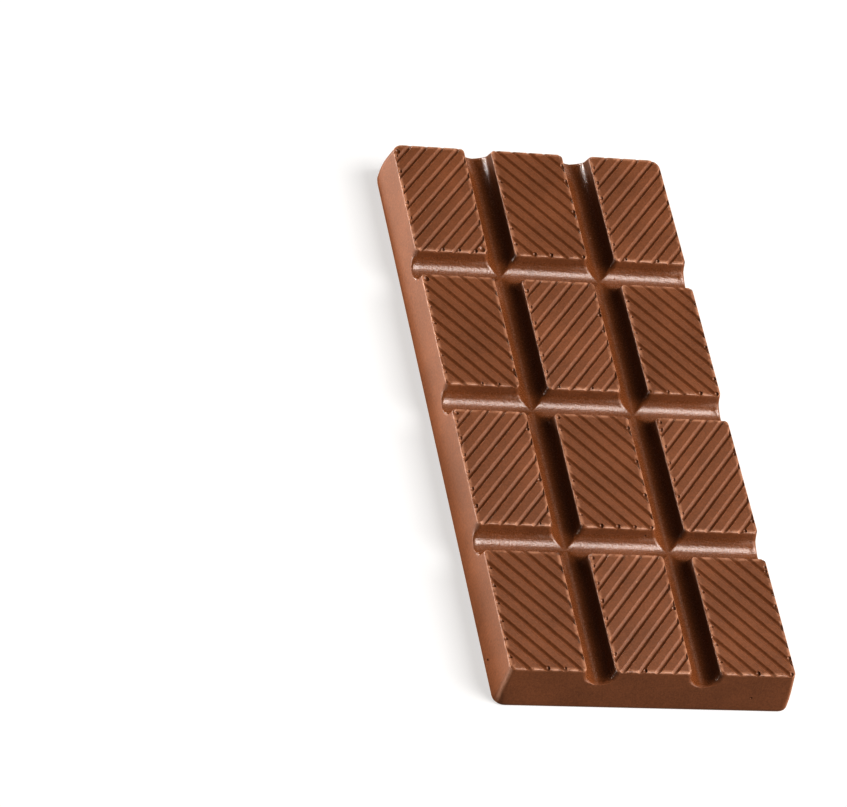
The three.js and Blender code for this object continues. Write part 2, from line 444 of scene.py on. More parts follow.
def blocks_in_place(tree, s):
    """A copy of the sheet for each block, with every point moved to its own place."""
    places = add_node(tree, "GeometryNodeMeshLine", {"Count": COLUMNS * ROWS})
    copies = add_node(tree, "GeometryNodeInstanceOnPoints", {
        "Points": places.outputs[0], "Instance": block_sheet(tree),
    })
    column, row = column_and_row(tree)
    numbered = store(tree, copies.outputs[0], "row", row, "INSTANCE")
    numbered = store(tree, numbered, "column", column, "INSTANCE")
    real = add_node(tree, "GeometryNodeRealizeInstances", {"Geometry": numbered}).outputs[0]

    around, level = attribute(tree, "around"), attribute(tree, "level")
    column, row = attribute(tree, "column"), attribute(tree, "row")
    share = float(RING // 4)
    corner = (around / share + NUDGE).math("FLOOR")
    step = around - corner * share
    turn = (step / float(ARC_STEPS)).math("MINIMUM", 1.0)
    along = ((step - float(ARC_STEPS)) / float(SIDE_STEPS + 1)).math("MAXIMUM", 0.0)
    along = (1.0 - (180.0 * along).cos()) / 2.0
    drop = drop_at(level, s)
    x0, y0, radius0, push_x, push_y, mouth = corner_of_block(corner, s, column, row, drop)
    x1, y1, radius1, next_x, next_y, _ = corner_of_block(corner + 1.0, s, column, row, drop)
    angle = 180.0 + 90.0 * (corner + turn)
    face_x, face_y = angle.cos(), angle.sin()
    x = choose(along, x1 + radius1 * face_x, x0 + radius0 * face_x)
    y = choose(along, y1 + radius1 * face_y, y0 + radius0 * face_y)
    middle, (mid_x, mid_y) = attribute(tree, "middle"), middle_of_block(s, column, row)
    x, y = choose(middle, mid_x, x), choose(middle, mid_y, y)
    on_side = along > 0.0
    noted = store(tree, real, "mouth", mouth * (1.0 - on_side))
    axes = (("x", face_x, push_x, next_x), ("y", face_y, push_y, next_y))
    for axis, face, push, next_push in axes:
        ease = corner_ease(s, face, push, push_x, push_y) * (1.0 - along)
        ease = ease + corner_ease(s, face, next_push, next_x, next_y) * along
        noted = store(tree, noted, "ease " + axis, ease)
        outwards = choose(on_side, push * face.math("ABSOLUTE"), push)
        noted = store(tree, noted, "push " + axis, outwards)
    moved = add_node(tree, "GeometryNodeSetPosition", {
        "Geometry": noted, "Position": vector(tree, x, y, s["Thickness"] - drop),
    })
    merged = add_node(tree, "GeometryNodeMergeByDistance", {
        "Geometry": moved.outputs[0], "Distance": MERGE_WITHIN,
    })
    return merged.outputs[0]


print("the blocks stand in", COLUMNS, "columns and", ROWS, "rows")

# %% [markdown]
# ## The outer walls and the back
#
# The walls round the bar lean outwards, and the bar's four corners grow rounder towards the back,
# most of all at its far end. So the open edge is pulled down step by step. Each point goes out by
# the wall's draft, and near a corner it also goes in by a square law, which starts gently.
# The last steps round the edge of the back, and filling the last ring makes the flat back. A
# bevel on a box could round the corners as well, but not with a radius that grows on the way.

# %% Walls and back
WALL_STEPS = (0.1, 0.26, 0.5, 0.9, 1.6, 2.4, 3.2, 4.0, 4.8)  # drops below the channels' bottom
BACK_STEPS = 4


def walls_and_back(tree, s, blocks):
    """Pulls the open edge down into the outer walls and closes the back."""
    rounding, floor = s["Back round"], s["Thickness"] - s["Channel depth"]
    levels = [(floor - down, 0.0) for down in WALL_STEPS]
    for step in range(BACK_STEPS + 1):
        turn = radians(90.0 * step / BACK_STEPS)
        levels.append((rounding * (1.0 - sin(turn)), rounding * (1.0 - cos(turn))))
    neighbours = add_node(tree, "GeometryNodeInputMeshEdgeNeighbors")
    edge = Number(tree, neighbours.outputs[0]) < 1.5
    mesh, last = blocks, None
    last_run = [s["Channel depth"] * s[name].tan() for name in ("Side draft", "End draft")]
    last_z = floor
    last_share = 0.0
    push_x, push_y = attribute(tree, "push x"), attribute(tree, "push y")
    ease_x, ease_y = attribute(tree, "ease x"), attribute(tree, "ease y")
    for z, inset in levels:
        pulled = add_node(tree, "GeometryNodeExtrudeMesh", {
            "Mesh": mesh, "Selection": last or edge, "Offset Scale": 0.0,
        }, mode="EDGES")
        last = socket_named(pulled.outputs, "Top")
        drop = s["Thickness"] - z
        run = [drop * s[name].tan() - inset for name in ("Side draft", "End draft")]
        share = (1.0 - z / floor).math("POWER", 2.0)
        offset = vector(tree, push_x * (run[0] - last_run[0]) + ease_x * (share - last_share),
                        push_y * (run[1] - last_run[1]) + ease_y * (share - last_share),
                        z - last_z)
        mesh = add_node(tree, "GeometryNodeSetPosition", {
            "Geometry": pulled.outputs[0], "Selection": last, "Offset": offset,
        }).outputs[0]
        last_run, last_z, last_share = run, z, share
    outline = add_node(tree, "GeometryNodeMeshToCurve", {"Mesh": mesh, "Selection": last})
    back = add_node(tree, "GeometryNodeFillCurve", {"Curve": outline.outputs[0]}, mode="NGONS")
    flipped = add_node(tree, "GeometryNodeFlipFaces", {"Mesh": back.outputs[0]})
    merged = add_node(tree, "GeometryNodeMergeByDistance", {
        "Geometry": join(tree, mesh, flipped.outputs[0]), "Distance": MERGE_WITHIN,
    })
    return merged.outputs[0]


print(len(WALL_STEPS) + BACK_STEPS + 1, "steps lead down to the back")

# %% [markdown]
# ## Softened channel mouths
#
# Where a channel runs out through an outer wall, the mould's edge is polished a little, so the
# chocolate has a soft lip there and no sharp one. A bevel would have to find that one curved edge
# among thousands. The tree finds it by a value stored earlier, and blurs the places of the points
# near it, which is a gentle sanding.

# %% Soft lips, and the blank is grown
MOUTH_PASSES = 10
ON_MOUTH = 0.25  # a point counts as part of a lip where its stored value is above this
FADE_SHARE = 0.7  # the share of the reach over which the softening fades out


def softened_mouths(tree, s, mesh):
    """Rounds the sharp edge where each channel's bottom runs out through an outer wall."""
    _, _, z = position(tree)
    in_channel = z > s["Thickness"] - s["Channel depth"] - 0.01
    lips = add_node(tree, "GeometryNodeSeparateGeometry", {
        "Geometry": mesh, "Selection": in_channel * (attribute(tree, "mouth") > ON_MOUTH),
    }, domain="POINT")
    near = add_node(tree, "GeometryNodeProximity", {"Geometry": lips.outputs[0]},
                    target_element="POINTS")
    distance = Number(tree, socket_named(near.outputs, "Distance"))
    weight = ((s["Mouth reach"] - distance) / (s["Mouth reach"] * FADE_SHARE)).clamped()
    here = add_node(tree, "GeometryNodeInputPosition")
    blurred = add_node(tree, "GeometryNodeBlurAttribute", data_type="FLOAT_VECTOR")
    fill(tree, socket_named(blurred.inputs, "Value"), here.outputs[0])
    fill(tree, blurred.inputs["Iterations"], MOUTH_PASSES)
    fill(tree, blurred.inputs["Weight"], weight)
    return add_node(tree, "GeometryNodeSetPosition", {
        "Geometry": mesh, "Position": socket_named(blurred.outputs, "Value"),
    }).outputs[0]


blank_tree, blank_sizes = new_tree("Moulded blank", BAR)
blank_mesh = walls_and_back(blank_tree, blank_sizes, blocks_in_place(blank_tree, blank_sizes))
end_tree(blank_tree, softened_mouths(blank_tree, blank_sizes, blank_mesh))
blank = grow("blank", blank_tree)

# %% [markdown]
# ## Grooves: ribs that press into the block tops
#
# The mould has slanting ribs, and each leaves a groove. A rib's section is one wave of a cosine,
# so the groove gets soft lips and a round bottom at once. The tree sweeps that section along a
# straight rail, repeats it at the pitch, and cuts the set to the room that a block gives it: on the
# long sides a thin rim stays, while at both ends the ribs run out over the edge and notch it. They
# lean one way on half of the blocks and the other way on the rest, like a chequerboard. A
# little noise keeps the edges from looking ruled. Drawing the grooves in a bump map would be
# quicker, but their dark sides and notched ends only look right as real shape.

# %% The ribs' sizes, and one rib
RIBS = {
    "Pitch": 2.829,
    "Angle": 50.24,
    "First offset": 0.52,
    "Width": 1.45,
    "Depth": 0.37,
    "Lift": 0.04,
    "Side rim": 0.1,
    "End rim": -0.4,
    "End run": 0.3,
    "Unevenness": 0.1,
    "Block width": BAR["Block width"],
    "Block length": BAR["Block length"],
    "Column pitch": COLUMN_PITCH,
    "Row pitch": ROW_PITCH,
    "Thickness": BAR["Thickness"],
}
SECTION_POINTS = 13
RAIL_POINTS = 24
RAIL_SHARE = 0.4  # half a rail, as a share of a block's width and length together


def rib(tree, s):
    """One long rib along X, with its deepest line below the origin."""
    line = add_node(tree, "GeometryNodeMeshLine", {"Count": SECTION_POINTS})
    share = (index(tree) / (SECTION_POINTS - 1) * 180.0 - 90.0).sin()
    dip = (s["Depth"] + s["Lift"]) * (1.0 + (180.0 * share).cos()) / 2.0
    bent = add_node(tree, "GeometryNodeSetPosition", {
        "Geometry": line.outputs[0],
        "Position": vector(tree, -(share * s["Width"] / 2.0), dip - s["Lift"], 0.0),
    })
    section = add_node(tree, "GeometryNodeMeshToCurve", {"Mesh": bent.outputs[0]})
    closed = add_node(tree, "GeometryNodeSetSplineCyclic", {
        "Geometry": section.outputs[0], "Cyclic": True,
    })
    reach = (s["Block width"] + s["Block length"]) * RAIL_SHARE
    rail = add_node(tree, "GeometryNodeCurvePrimitiveLine", {
        "Start": vector(tree, -reach, 0.0, 0.0), "End": vector(tree, reach, 0.0, 0.0),
    })
    stepped = add_node(tree, "GeometryNodeResampleCurve", {
        "Curve": rail.outputs[0], "Count": RAIL_POINTS,
    })
    level = add_node(tree, "GeometryNodeSetCurveNormal", {"Curve": stepped.outputs[0]}, mode="Z_UP")
    swept = add_node(tree, "GeometryNodeCurveToMesh", {
        "Curve": level.outputs[0], "Profile Curve": closed.outputs[0], "Fill Caps": True,
    })
    return swept.outputs[0]


print("a rib is", RIBS["Width"], "mm wide and", RIBS["Depth"], "mm deep")

# %% The ribs of one block
RIBS_EACH_SIDE = 9
ROOM_HEIGHT = 1.2
ROOM_DROP = 0.3  # how far the room's middle lies below the block's top


def rib_room(tree, s):
    """The space that a block's ribs may fill. It narrows as it goes down, for sloping ends."""
    cube = add_node(tree, "GeometryNodeMeshCube")
    x, y, z = position(tree)
    level = z * ROOM_HEIGHT - ROOM_DROP
    slant = -level * s["End run"] / s["Depth"]
    width = s["Block width"] - 2.0 * (s["Side rim"] + slant)
    length = s["Block length"] - 2.0 * (s["End rim"] + slant)
    return add_node(tree, "GeometryNodeSetPosition", {
        "Geometry": cube.outputs[0],
        "Position": vector(tree, x * width, y * length, level),
    }).outputs[0]


def ribs_of_a_block(tree, s, lean):
    """All ribs of one block about the origin, for a lean of 1 or -1."""
    turn = s["Angle"] if lean > 0 else 180.0 - s["Angle"]
    line = add_node(tree, "GeometryNodeMeshLine", {"Count": 2 * RIBS_EACH_SIDE + 1})
    offset = (index(tree) - RIBS_EACH_SIDE + s["First offset"]) * s["Pitch"]
    spread = add_node(tree, "GeometryNodeSetPosition", {
        "Geometry": line.outputs[0],
        "Position": vector(tree, offset * turn.sin(), -(offset * turn.cos()), 0.0),
    })
    copies = add_node(tree, "GeometryNodeInstanceOnPoints", {
        "Points": spread.outputs[0], "Instance": rib(tree, s),
        "Rotation": vector(tree, 0.0, 0.0, turn.math("RADIANS")),
    })
    real = add_node(tree, "GeometryNodeRealizeInstances", {"Geometry": copies.outputs[0]})
    cut = tree.nodes.new("GeometryNodeMeshBoolean")
    cut.operation, cut.solver = "INTERSECT", "MANIFOLD"
    tree.links.new(real.outputs[0], socket_named(cut.inputs, "Mesh"))
    tree.links.new(rib_room(tree, s), socket_named(cut.inputs, "Mesh"))
    return cut.outputs[0]


print("up to", 2 * RIBS_EACH_SIDE + 1, "ribs are laid over a block before they are cut to it")

# %% The ribs of all blocks
def block_places(tree, s, lean):
    """The middles of the block tops whose ribs lean that way."""
    line = add_node(tree, "GeometryNodeMeshLine", {"Count": COLUMNS * ROWS})
    column, row = column_and_row(tree)
    spread = add_node(tree, "GeometryNodeSetPosition", {
        "Geometry": line.outputs[0],
        "Position": vector(tree, (column - (COLUMNS - 1) / 2) * s["Column pitch"],
                           (row - (ROWS - 1) / 2) * s["Row pitch"], s["Thickness"]),
    })
    odd = (row + column).math("MODULO", 2.0)
    unwanted = odd < 0.5 if lean > 0 else odd > 0.5
    kept = add_node(tree, "GeometryNodeDeleteGeometry", {
        "Geometry": spread.outputs[0], "Selection": unwanted,
    })
    return kept.outputs[0]


def uneven(tree, geometry, amount, scale, selection=None):
    """Moves points by a smooth noise, mostly by less than a quarter of amount each way."""
    noise = add_node(tree, "ShaderNodeTexNoise", {"Scale": scale, "Detail": 2.0})
    centred = add_node(tree, "ShaderNodeVectorMath", operation="SUBTRACT")
    tree.links.new(noise.outputs["Color"], centred.inputs[0])
    centred.inputs[1].default_value = (0.5, 0.5, 0.5)
    scaled = add_node(tree, "ShaderNodeVectorMath", {"Scale": amount}, operation="SCALE")
    tree.links.new(centred.outputs[0], scaled.inputs[0])
    inputs = {"Geometry": geometry, "Offset": scaled.outputs[0]}
    if selection is not None:
        inputs["Selection"] = selection
    return add_node(tree, "GeometryNodeSetPosition", inputs).outputs[0]


rib_tree, rib_sizes = new_tree("Groove ribs", RIBS)
rib_sets = []
for lean in (1, -1):
    copies = add_node(rib_tree, "GeometryNodeInstanceOnPoints", {
        "Points": block_places(rib_tree, rib_sizes, lean),
        "Instance": ribs_of_a_block(rib_tree, rib_sizes, lean),
    })
    rib_sets.append(copies.outputs[0])
all_ribs = add_node(rib_tree, "GeometryNodeRealizeInstances", {
    "Geometry": join(rib_tree, *rib_sets),
})
end_tree(rib_tree, uneven(rib_tree, all_ribs.outputs[0], rib_sizes["Unevenness"], scale=0.7))
ribs = grow("ribs", rib_tree)

# %% [markdown]
# ## Air bubbles
#
# Chocolate is poured into the mould as a thick liquid, and small bubbles of air stay behind where
# it can't flow out easily: in the sharp corners between a groove's end and the block's edge, in
# some corners of the blocks, and here and there on a wall. They show as round pits. Dark dots in
# the colour would be cheaper, but a pit has a lit side and a shaded side. So each one is cut out
# with a small ball. Balls at the grooves' ends follow the groove pattern by rule, and a seeded
# draw says which of them are there.

# %% Bubbles beside the grooves' ends
BUBBLES = {
    "Radius": 0.44,
    "Inset": 0.56,
    "Share left": 0.9,
    "Share right": 0.3,
    "Share near": 0.5,
    "Wall density": 0.0015,  # bubbles per square millimetre
    "Seed": 7,
    "Blank": bpy.types.Object,
    "Corner spots": bpy.types.Object,
}
BUBBLES.update({name: RIBS[name] for name in (
    "Pitch", "Angle", "First offset", "Block width", "Block length", "Column pitch",
    "Row pitch", "Thickness")})


def random_number(tree, low, high, seed):
    """A different number for each point, between low and high."""
    node = add_node(tree, "FunctionNodeRandomValue", {"Min": low, "Max": high, "Seed": seed})
    return Number(tree, socket_named(node.outputs, "Value"))


CLEAR_OF_CORNER = 0.8
SPOT_SHIFTS = {"left": -0.22, "right": 0.2, "near": 0.2}  # from a groove's middle, in pitches


def row_of_spots(tree, s, lean, side, shift, share):
    """Points between the groove ends along one side of a block, with the share that is kept."""
    line = add_node(tree, "GeometryNodeMeshLine", {"Count": 2 * RIBS_EACH_SIDE + 1})
    offset = (index(tree) - RIBS_EACH_SIDE + s["First offset"] + shift) * s["Pitch"]
    across_x, across_y = s["Angle"].sin(), -lean * s["Angle"].cos()
    if side == "near":
        y = -(s["Block length"] / 2.0 - s["Inset"])
        x = (offset - across_y * y) / across_x
        beyond = x.math("ABSOLUTE") > s["Block width"] / 2.0 - CLEAR_OF_CORNER
    else:
        x = (s["Block width"] / 2.0 - s["Inset"]) * (1.0 if side == "right" else -1.0)
        y = (offset - across_x * x) / across_y
        beyond = y.math("ABSOLUTE") > s["Block length"] / 2.0 - CLEAR_OF_CORNER
    spread = add_node(tree, "GeometryNodeSetPosition", {
        "Geometry": line.outputs[0], "Position": vector(tree, x, y, 0.0),
    })
    kept = add_node(tree, "GeometryNodeDeleteGeometry", {
        "Geometry": spread.outputs[0], "Selection": beyond,
    })
    return store(tree, kept.outputs[0], "share", share)


bubble_tree, bubble_sizes = new_tree("Air bubbles", BUBBLES)
spot_sets = []
for lean in (1, -1):
    rows = [
        row_of_spots(bubble_tree, bubble_sizes, lean, side, shift, bubble_sizes["Share " + side])
        for side, shift in SPOT_SHIFTS.items()
    ]
    copies = add_node(bubble_tree, "GeometryNodeInstanceOnPoints", {
        "Points": block_places(bubble_tree, bubble_sizes, lean),
        "Instance": join(bubble_tree, *rows),
    })
    spot_sets.append(copies.outputs[0])
spots = add_node(bubble_tree, "GeometryNodeRealizeInstances", {
    "Geometry": join(bubble_tree, *spot_sets),
})
drawn = random_number(bubble_tree, 0.0, 1.0, bubble_sizes["Seed"])
missing = drawn > attribute(bubble_tree, "share")
spots = add_node(bubble_tree, "GeometryNodeDeleteGeometry", {
    "Geometry": spots.outputs[0], "Selection": missing,
})
spots = store(bubble_tree, spots.outputs[0], "size", bubble_sizes["Radius"])
print("the bubbles lie in rows along three sides of each block")

# %% Larger bubbles in the blocks' corners
# Some corners of a mould hold a larger bubble in bar after bar: x, y and radius in millimetres.
# A large bubble's middle lies higher, so that its pit stays shallow.
SMALL_BUBBLE = 0.3
BUBBLE_LIFT = 0.6
CORNER_BUBBLES = [
    (-29.9, 67.9, 0.7),
    (-29.9, 31.9, 0.62),
    (-29.9, -4.5, 0.62),
    (-7.5, -4.5, 0.5),
    (15.2, -4.6, 0.5),
    (-7.4, -41.2, 0.5),
    (30.2, -42.0, 0.35),
    (-15.7, 41.0, 0.98),
]


def spot_mesh(name, spots, height):
    """Loose points with a size each, as an object for a tree to read."""
    mesh = bpy.data.meshes.new(name)
    places = [(x, y, height + BUBBLE_LIFT * (radius - SMALL_BUBBLE)) for x, y, radius in spots]
    mesh.from_pydata(places, [], [])
    sizes = mesh.attributes.new("size", "FLOAT", "POINT")
    sizes.data.foreach_set("value", [radius for _, _, radius in spots])
    piece = bpy.data.objects.new(name, mesh)
    bpy.context.scene.collection.objects.link(piece)
    return piece


corner_spots = spot_mesh("corner spots", CORNER_BUBBLES, BAR["Thickness"])
print(len(CORNER_BUBBLES), "corners hold a larger bubble")

# %% Bubbles on the walls, and a ball for every bubble
def object_geometry(tree, piece):
    """The geometry of an object that is given to a tree as an input."""
    node = add_node(tree, "GeometryNodeObjectInfo", {"Object": piece})
    return node.outputs["Geometry"]


STEEP = 0.3  # a wall is where a face's normal points up or down by less than this
WALL_BUBBLE_SHARE = 0.75  # a wall's bubbles are this much of the usual size
BALL_LENGTH, BALL_HEIGHT = 1.15, 0.9  # a bubble is a little longer than wide, and flatter
normal = add_node(bubble_tree, "GeometryNodeInputNormal")
_, _, up = [Number(bubble_tree, socket) for socket in add_node(
    bubble_tree, "ShaderNodeSeparateXYZ", {"Vector": normal.outputs[0]}).outputs]
wall_spots = add_node(bubble_tree, "GeometryNodeDistributePointsOnFaces", {
    "Mesh": object_geometry(bubble_tree, bubble_sizes["Blank"]),
    "Selection": up.math("ABSOLUTE") < STEEP,
    "Density": bubble_sizes["Wall density"],
    "Seed": bubble_sizes["Seed"],
})
wall_size = bubble_sizes["Radius"] * WALL_BUBBLE_SHARE
wall_spots = store(bubble_tree, wall_spots.outputs[0], "size", wall_size)
ball = add_node(bubble_tree, "GeometryNodeMeshIcoSphere", {"Radius": 1.0, "Subdivisions": 2})
all_spots = join(bubble_tree, spots,
                 object_geometry(bubble_tree, bubble_sizes["Corner spots"]), wall_spots)
size = random_number(bubble_tree, 0.75, 1.2, bubble_sizes["Seed"] + 1.0)
size = attribute(bubble_tree, "size") * size
balls = add_node(bubble_tree, "GeometryNodeInstanceOnPoints", {
    "Points": all_spots, "Instance": ball.outputs[0],
    "Scale": vector(bubble_tree, size, size * BALL_LENGTH, size * BALL_HEIGHT),
})
real_balls = add_node(bubble_tree, "GeometryNodeRealizeInstances", {"Geometry": balls.outputs[0]})
end_tree(bubble_tree, uneven(bubble_tree, real_balls.outputs[0], amount=0.15, scale=1.1))
bubbles = grow("bubbles", bubble_tree, {"Blank": blank, "Corner spots": corner_spots})

# %% [markdown]
# ## Pressing the pattern
#
# In the mould the ribs and bubbles leave their print as the chocolate sets. Here the last tree
# takes the blank and cuts them out of it. The Manifold solver is made for closed meshes like these
# and is quick. The tree then turns millimetres to metres, and marks as sharp only the edges that
# really are. The lands between the grooves are dead flat, so an edge round them counts as sharp
# at a smaller angle than elsewhere, or their long thin triangles would shade in streaks. Later a
# Weighted Normal modifier lets the big faces win, so that flat places look flat up to their edges.

# %% A tree for the pressing
PRESS = {
    "Blank": bpy.types.Object,
    "Ribs": bpy.types.Object,
    "Bubbles": bpy.types.Object,
    "Sharp above": 38.0,
    "Sharp on lands": 18.0,
    "Top": BAR["Thickness"] / 1000,
    "Chocolate": bpy.types.Material,
}
MERGE_CUTS_WITHIN = 0.001
LAND_DEPTH = 0.000002  # metres: an edge this close to the top lies round a land
press_tree, press_sizes = new_tree("Pressed bar", PRESS)
cut = press_tree.nodes.new("GeometryNodeMeshBoolean")
cut.operation, cut.solver = "DIFFERENCE", "MANIFOLD"
press_tree.links.new(object_geometry(press_tree, press_sizes["Blank"]), cut.inputs["Mesh 1"])
for name in ("Ribs", "Bubbles"):
    press_tree.links.new(object_geometry(press_tree, press_sizes[name]), cut.inputs["Mesh 2"])
merged = add_node(press_tree, "GeometryNodeMergeByDistance", {
    "Geometry": cut.outputs[0], "Distance": MERGE_CUTS_WITHIN,
})
in_metres = add_node(press_tree, "GeometryNodeTransform", {
    "Geometry": merged.outputs[0], "Scale": (0.001, 0.001, 0.001),
})
smooth = add_node(press_tree, "GeometryNodeSetShadeSmooth", {"Geometry": in_metres.outputs[0]})
edge_angle = Number(press_tree, add_node(press_tree, "GeometryNodeInputMeshEdgeAngle").outputs[0])
_, _, edge_z = position(press_tree)
on_land = (edge_z > press_sizes["Top"] - LAND_DEPTH) * (
    edge_angle > press_sizes["Sharp on lands"].math("RADIANS"))
creased = add_node(press_tree, "GeometryNodeSetShadeSmooth", {
    "Geometry": smooth.outputs[0],
    "Selection": on_land + (edge_angle > press_sizes["Sharp above"].math("RADIANS")),
    "Shade Smooth": False,
}, domain="EDGE")
end_tree(press_tree, creased.outputs[0], press_sizes["Chocolate"])
print("the tree has", len(press_tree.nodes), "nodes")

# %% [markdown]
# ## Milk chocolate
#
# Milk chocolate is a warm reddish brown with a satin surface: the cocoa butter takes the mould's
# polish, but a fine grain breaks the shine up. Where bars have rubbed against each other, their
# edges turn paler and duller, and a few grains of cocoa dust stick to them. The pale edge line is
# partly a painted highlight too: it is made brighter than wear alone would make it, in place of the
# light that the rounded edges catch.
#
# Each of these effects is a small node group with named inputs, so that it could be used again on
# another bar. The groups only hand over colours, masks and heights. The shader itself stays in the
# material. All patterns are worked out from the place on the bar, so no painted image is needed.

# %% Helpers for shader groups
def new_group(name, inputs, outputs):
    """A shader group with named sockets: its tree, its inputs as Numbers, and its last node."""
    tree = bpy.data.node_groups.new(name, "ShaderNodeTree")
    for label, value in inputs.items():
        kind = "NodeSocketColor" if isinstance(value, list) else SOCKET_KINDS[type(value)]
        socket = tree.interface.new_socket(label, in_out="INPUT", socket_type=kind)
        socket.default_value = value
    for label, kind in outputs.items():
        tree.interface.new_socket(label, in_out="OUTPUT", socket_type=kind)
    entry = tree.nodes.new("NodeGroupInput")
    result = tree.nodes.new("NodeGroupOutput")
    return tree, {label: Number(tree, entry.outputs[label]) for label in inputs}, result


def noise(tree, place, scale, detail=2.0):
    """Smooth noise between 0 and 1, with its patches 1 / scale apart."""
    node = add_node(tree, "ShaderNodeTexNoise", {"Vector": place, "Scale": scale, "Detail": detail})
    return Number(tree, node.outputs[0])


def use_group(material, group, inputs):
    """Puts a group into a material and fills its named inputs."""
    node = material.node_tree.nodes.new("ShaderNodeGroup")
    node.node_tree = group
    for label, value in inputs.items():
        fill(material.node_tree, node.inputs[label], value)
    return node


def mix_colours(tree, share, first, second):
    """first where share is 0, second where it is 1."""
    node = add_node(tree, "ShaderNodeMix", data_type="RGBA")
    for label, value in (("Factor", share), ("A", first), ("B", second)):
        fill(tree, socket_named(node.inputs, label), value)
    return socket_named(node.outputs, "Result")


print("a group takes numbers, places and colours")

# %% [markdown]
# ### Cocoa mottling
#
# Cocoa solids and milk never mix quite evenly. The brown has soft patches a centimetre wide and
# speckles finer than a pinhead. Two noises of different size, added together, choose
# between a deeper and a milkier brown. A single colour would look like paint.

# %% Cocoa mottling: soft patches of deeper and milkier brown
MILKY_ABOVE, MILKY_CONTRAST = 0.35, 3.3
mottling, given, result = new_group("Cocoa mottling", {
    "Place": (0.0, 0.0, 0.0),
    "Deep colour": [0.126, 0.044, 0.013, 1.0],
    "Milky colour": [0.192, 0.072, 0.026, 1.0],
    "Patches per metre": 90.0,
    "Speckles per metre": 2400.0,
    "Speckle share": 0.6,
}, {"Colour": "NodeSocketColor"})
patches = noise(mottling, given["Place"], given["Patches per metre"], 3.0)
speckles = noise(mottling, given["Place"], given["Speckles per metre"])
blend = patches + (speckles - patches) * given["Speckle share"]
milkiness = ((blend - MILKY_ABOVE) * MILKY_CONTRAST).clamped()
brown = mix_colours(mottling, milkiness, given["Deep colour"], given["Milky colour"])
fill(mottling, result.inputs["Colour"], brown)
print(mottling.name, "has", len(mottling.nodes), "nodes")

# %% [markdown]
# ### Edge wear and painted highlight
#
# Bars slide over each other in their box. The top edge of every block and the bar's four upright
# corners lose their skin there and turn paler. The pale line is also a painted highlight: it is
# brighter than wear alone, in place of the light that rounded edges and corners catch, and it is
# equally bright on every side, whichever way the light comes. Blender has a Pointiness value for
# edges, but it depends on the mesh and is lost when a model is exported. The edges' places are
# known here, so a mask can be worked out from the distance to them, with a noise that breaks it up.

# %% Edge wear and painted highlight: where a block's top edge is
HALF_WIDTH = (COLUMNS * COLUMN_PITCH - BAR["Long channel"]) / 2000  # metres, like all shader sizes
HALF_LENGTH = (ROWS * ROW_PITCH - BAR["Cross channel"]) / 2000
# The next three sizes shape the pale line, which is edge wear and a painted highlight at once.
LINE_INSIDE = 0.4  # how far inside the edge the middle of the rubbed line lies, in reaches
LINE_FULL = 0.3  # how far it keeps its full strength on both sides of that, in reaches
LINE_DEPTH = 1.2  # how far it goes down the block's side, in reaches
BREAKS_ABOVE, BREAKS_CONTRAST = 0.36, 5.0
edge_wear_and_highlight_tree, given, result = new_group("Edge wear and painted highlight", {
    "Place": (0.0, 0.0, 0.0),
    "Block width": BAR["Block width"] / 1000,
    "Block length": BAR["Block length"] / 1000,
    "Column pitch": COLUMN_PITCH / 1000,
    "Row pitch": ROW_PITCH / 1000,
    "Top": BAR["Thickness"] / 1000,
    "Reach": 0.0005,
    "Breaks per metre": 700.0,
    "Half width": HALF_WIDTH,
    "Half length": HALF_LENGTH,
    "Corner line": 0.0006,
    "Corner share": 0.9,
}, {"Mask": "NodeSocketFloat"})
split = add_node(edge_wear_and_highlight_tree, "ShaderNodeSeparateXYZ", {"Vector": given["Place"]})
x, y, z = [Number(edge_wear_and_highlight_tree, socket) for socket in split.outputs]


def beyond_side(along, middle, pitch, size):
    """How far a point lies outside the nearest block's side, along one axis."""
    number = ((along - middle) / pitch).math("ROUND")
    return (along - middle - number * pitch).math("ABSOLUTE") - size / 2.0


beyond_x = beyond_side(x, 0.0, given["Column pitch"], given["Block width"])
beyond_y = beyond_side(y, given["Row pitch"] / 2.0, given["Row pitch"], given["Block length"])
outside = beyond_x.math("MAXIMUM", beyond_y)
from_line = (outside + given["Reach"] * LINE_INSIDE).math("ABSOLUTE")
near_edge = (1.0 + LINE_FULL - from_line / given["Reach"]).clamped()
near_top = (1.0 - (given["Top"] - z) / (given["Reach"] * LINE_DEPTH)).clamped()
grit = noise(edge_wear_and_highlight_tree, given["Place"], given["Breaks per metre"], 4.0)
breaks = ((grit - BREAKS_ABOVE) * BREAKS_CONTRAST).clamped()
print("a bar is", round(HALF_WIDTH * 2000, 2), "mm wide across its top")

# %% Edge wear and painted highlight: where the bar's upright corners are
CORNER_FULL = 0.4  # how far a corner's line keeps its full strength, in widths of the line
CORNER_ROOM, CORNER_FADE = 0.0014, 0.0004  # metres inside both walls, and where the line fades
drop = given["Top"] - z
side = x.math("ABSOLUTE") - given["Half width"] - drop * tan(radians(BAR["Side draft"]))
end = y.math("ABSOLUTE") - given["Half length"] - drop * tan(radians(BAR["End draft"]))
from_corner = (side - end).math("ABSOLUTE")
on_corner = (1.0 + CORNER_FULL - from_corner / given["Corner line"]).clamped()
near_corner = ((side.math("MINIMUM", end) + CORNER_ROOM) / CORNER_FADE).clamped()
on_corner = on_corner * near_corner * (0.5 + 0.5 * breaks) * given["Corner share"]
# The mask is edge wear and painted highlight together: the pale lines stand in partly for the light
# on edges and corners.
fill(edge_wear_and_highlight_tree, result.inputs["Mask"], (near_edge * near_top * breaks).math("MAXIMUM", on_corner))
print(edge_wear_and_highlight_tree.name, "has", len(edge_wear_and_highlight_tree.nodes), "nodes")

# %% [markdown]
# ### Mould grain
#
# A mould isn't a mirror. Its fine texture prints as grain, and long ripples come from the way the
# chocolate shrinks as it cools. The channels are glossiest but grainy, which makes their pale
# reflections glitter. The block tops are duller, and the outer walls are dullest. Both the height
# for a bump and a value for the roughness come from the same noise, so that dull grains are the
# raised ones. Grain this fine would need millions of faces as real shape.

